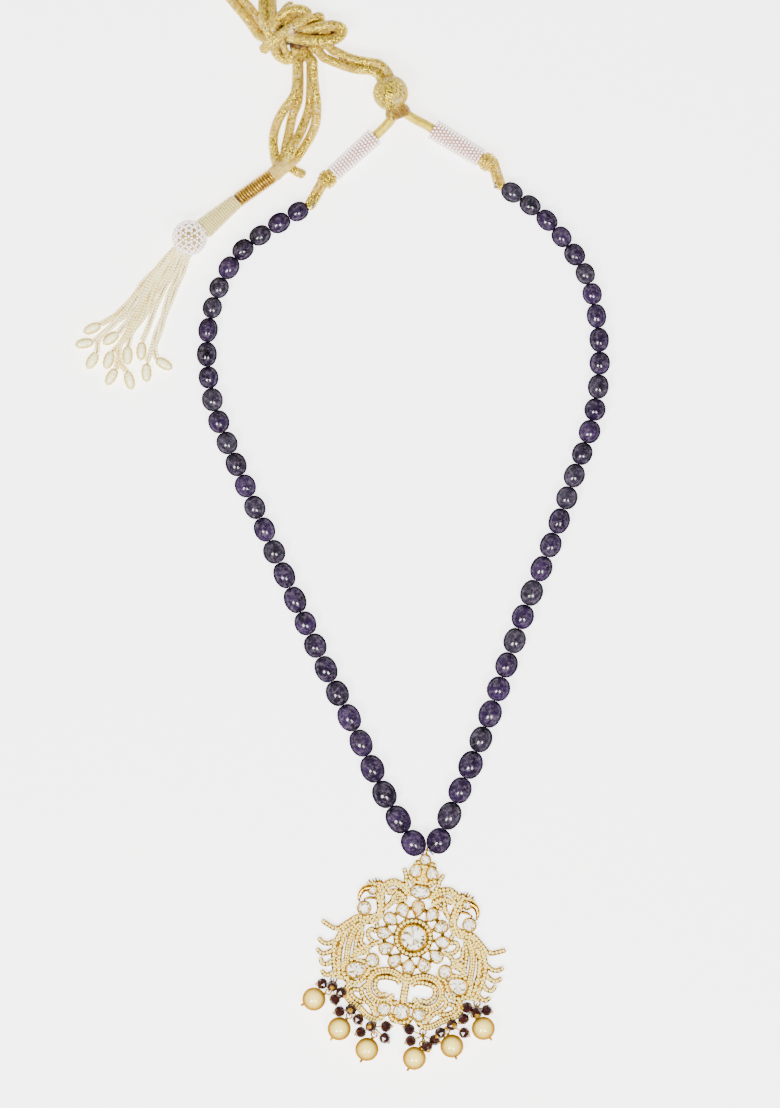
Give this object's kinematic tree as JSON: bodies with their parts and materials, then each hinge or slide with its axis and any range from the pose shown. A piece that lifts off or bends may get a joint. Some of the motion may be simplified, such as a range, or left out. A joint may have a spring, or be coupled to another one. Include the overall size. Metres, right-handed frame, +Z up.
{
  "type": "temple necklace",
  "caption": "Necklace of oval blue-violet stone beads on a cord closure with a tassel, and a pierced gold pendant set with pale stones and hung with pearls",
  "frame": {"origin": "middle of the laid necklace's box without its free cords, at the surface that it lies on", "axes": "+Z up from the surface, +Y from the pendant to the closure, +X to the right as seen from above"},
  "size_m": [0.1782, 0.3812, 0.012],
  "materials": {
    "bead": "polished",
    "string": "matte",
    "gold": "polished",
    "diamond": "faceted",
    "pearl": "pearl lustre",
    "garnet": "faceted",
    "cord": "metallic braid",
    "seed_sleeve": "seed beads",
    "ball_thread": "wound thread",
    "neck_thread": "wound thread",
    "gold_wrap": "wound metallic thread",
    "cream_wrap": "wound thread",
    "seed_fringe": "seed beads",
    "rice_pearl": "pearl lustre"
  },
  "bodies": {
    "root": {"beads_left": "bead", "beads_right": "bead", "string_thread": "string", "pendant_frame": "gold", "centre_stone": "diamond", "petal_stones": "diamond", "crown_top_stone": "diamond", "crown_oval_stone": "diamond", "crown_drop_left": "diamond", "crown_drop_right": "diamond", "eye_stone_left": "diamond", "eye_stone_right": "diamond", "beak_stone_left": "diamond", "beak_stone_right": "diamond", "round_stone_left": "diamond", "round_stone_right": "diamond", "drop_stone_left": "diamond", "drop_stone_right": "diamond", "base_stone_left": "diamond", "base_stone_middle": "diamond", "base_stone_right": "diamond", "pearl_1": "pearl", "pearl_2": "pearl", "pearl_3": "pearl", "pearl_4": "pearl", "pearl_5": "pearl", "pearl_6": "pearl", "pearl_pins": "gold", "drop_links": "gold", "garnets_1": "garnet", "garnets_2": "garnet", "garnets_3": "garnet", "garnets_4": "garnet", "garnets_5": "garnet", "garnets_6": "garnet", "end_loop_left": "cord", "end_loop_right": "cord", "seed_sleeve_left": "seed_sleeve", "seed_sleeve_right": "seed_sleeve", "closure_cord_left": "cord", "closure_cord_right": "cord", "cord_collar": "gold", "slide_ball": "ball_thread", "tie_knot": "cord", "bight_cord_outer": "cord", "bight_cord_inner": "cord", "tassel_cord_1": "cord", "tassel_cord_2": "cord", "tassel_cord_3": "cord", "tassel_cord_4": "cord", "tassel_neck": "neck_thread", "tassel_gold_wrap": "gold_wrap", "tassel_cream_wrap": "cream_wrap", "tassel": "seed_fringe", "tassel_pearls": "rice_pearl"}
  },
  "joints": []
}
